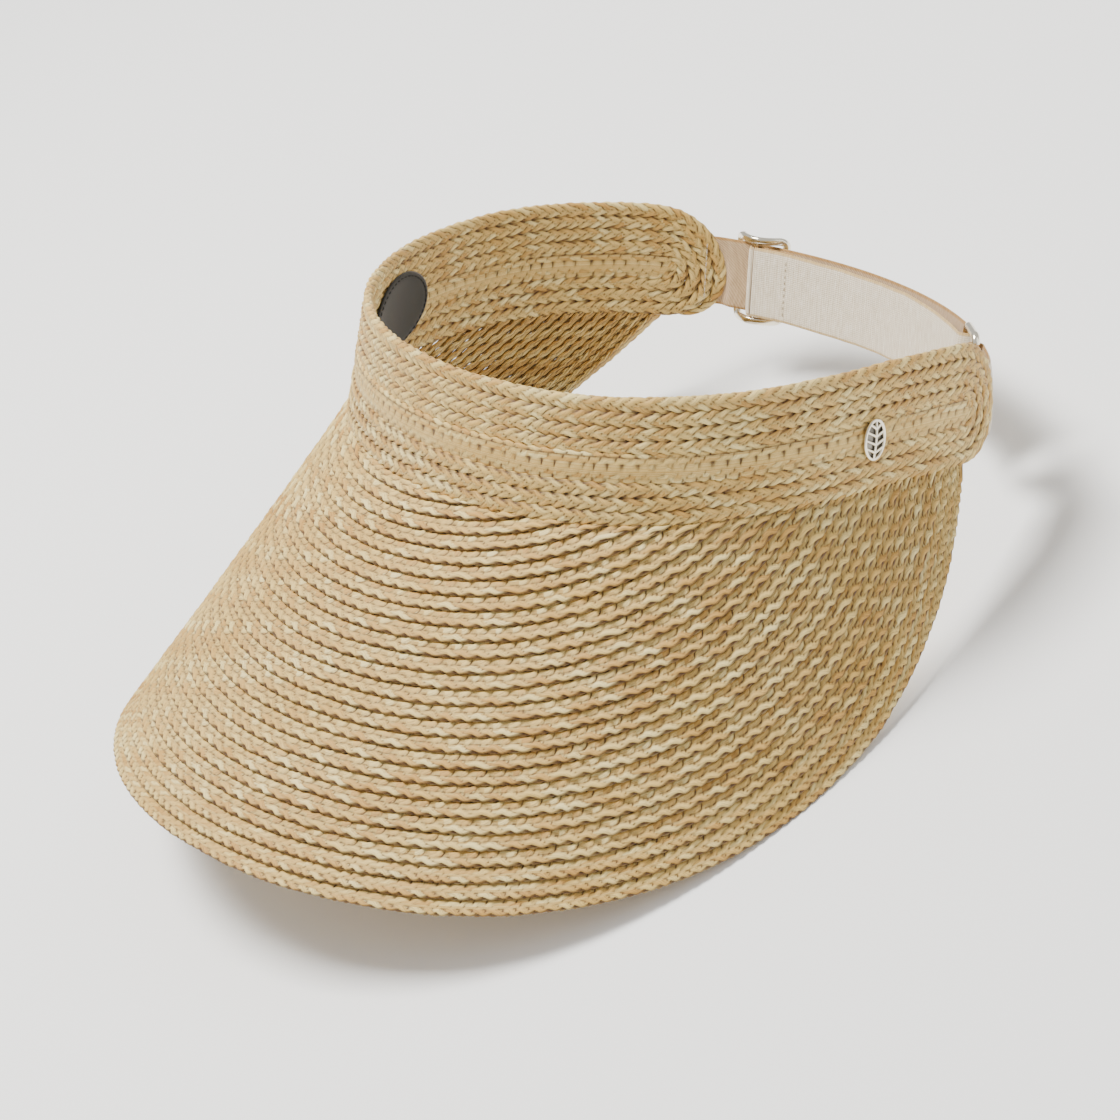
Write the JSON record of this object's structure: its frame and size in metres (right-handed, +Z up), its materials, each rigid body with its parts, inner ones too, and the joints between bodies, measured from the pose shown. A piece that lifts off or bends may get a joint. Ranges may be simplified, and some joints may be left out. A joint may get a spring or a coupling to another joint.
{
  "type": "sun visor",
  "caption": "Open-crown sun visor of sewn raffia braid, with a wide drooping brim and an adjustable webbing strap with slider and ring at the back.",
  "frame": {"origin": "on the surface the visor rests on, under the middle of its outline; it leans back on the side edges of its brim", "axes": "-Y to the visor's front, +X to the wearer's left, +Z up from the surface; the band's own axis leans 28.1 degrees from +Z towards +Y"},
  "size_m": [0.2516, 0.2768, 0.1139],
  "materials": {
    "raffia_braid": "natural raffia, braided and sewn, matt with a faint sheen along the fibre",
    "webbing_tan": "tan twill webbing",
    "webbing_cream": "cream woven webbing, the strap's other face",
    "sewing_thread": "spun sewing thread",
    "plated_metal": "pale bright plating on steel wire and sheet",
    "label_cloth": "near-black woven patch, plain"
  },
  "bodies": {
    "root": {"brim_row_01": "raffia_braid", "brim_row_02": "raffia_braid", "brim_row_03": "raffia_braid", "brim_row_04": "raffia_braid", "brim_row_05": "raffia_braid", "brim_row_06": "raffia_braid", "brim_row_07": "raffia_braid", "brim_row_08": "raffia_braid", "brim_row_09": "raffia_braid", "brim_row_10": "raffia_braid", "brim_row_11": "raffia_braid", "brim_row_12": "raffia_braid", "brim_row_13": "raffia_braid", "brim_row_14": "raffia_braid", "brim_row_15": "raffia_braid", "brim_row_16": "raffia_braid", "brim_row_17": "raffia_braid", "brim_row_18": "raffia_braid", "brim_row_19": "raffia_braid", "brim_row_20": "raffia_braid", "brim_row_21": "raffia_braid", "brim_row_22": "raffia_braid", "brim_row_23": "raffia_braid", "brim_row_24": "raffia_braid", "brim_row_25": "raffia_braid", "brim_row_26": "raffia_braid", "brim_row_27": "raffia_braid", "crown_centre_braid": "raffia_braid", "crown_ring_1": "raffia_braid", "crown_ring_2": "raffia_braid", "crown_ring_3": "raffia_braid", "crown_top_row": "raffia_braid", "emblem_stud": "plated_metal", "far_anchor_seam": "sewing_thread", "inner_label": "label_cloth", "near_tab_seam": "sewing_thread", "ring_tab": "webbing_cream", "strap_webbing_inner": "webbing_cream", "strap_webbing_outer": "webbing_tan"},
    "slider": {"slider_buckle": "plated_metal", "strap_loop_end": "webbing_cream", "loop_end_seam": "sewing_thread"},
    "ring": {"end_ring": "plated_metal"}
  },
  "joints": [
    {"name": "slider_slide", "type": "hinge", "parent": "root", "child": "slider", "pos_m": [0, 0.02476, 0.08416], "axis": [0, -0.471, -0.8821], "range_deg": [0, 26], "deforming": ["strap_webbing_inner"]},
    {"name": "ring_pivot", "type": "hinge", "parent": "root", "child": "ring", "pos_m": [0.05661, 0.1181, 0.03432], "axis": [0, 0.471, 0.8821], "range_deg": [-2, 2]}
  ]
}
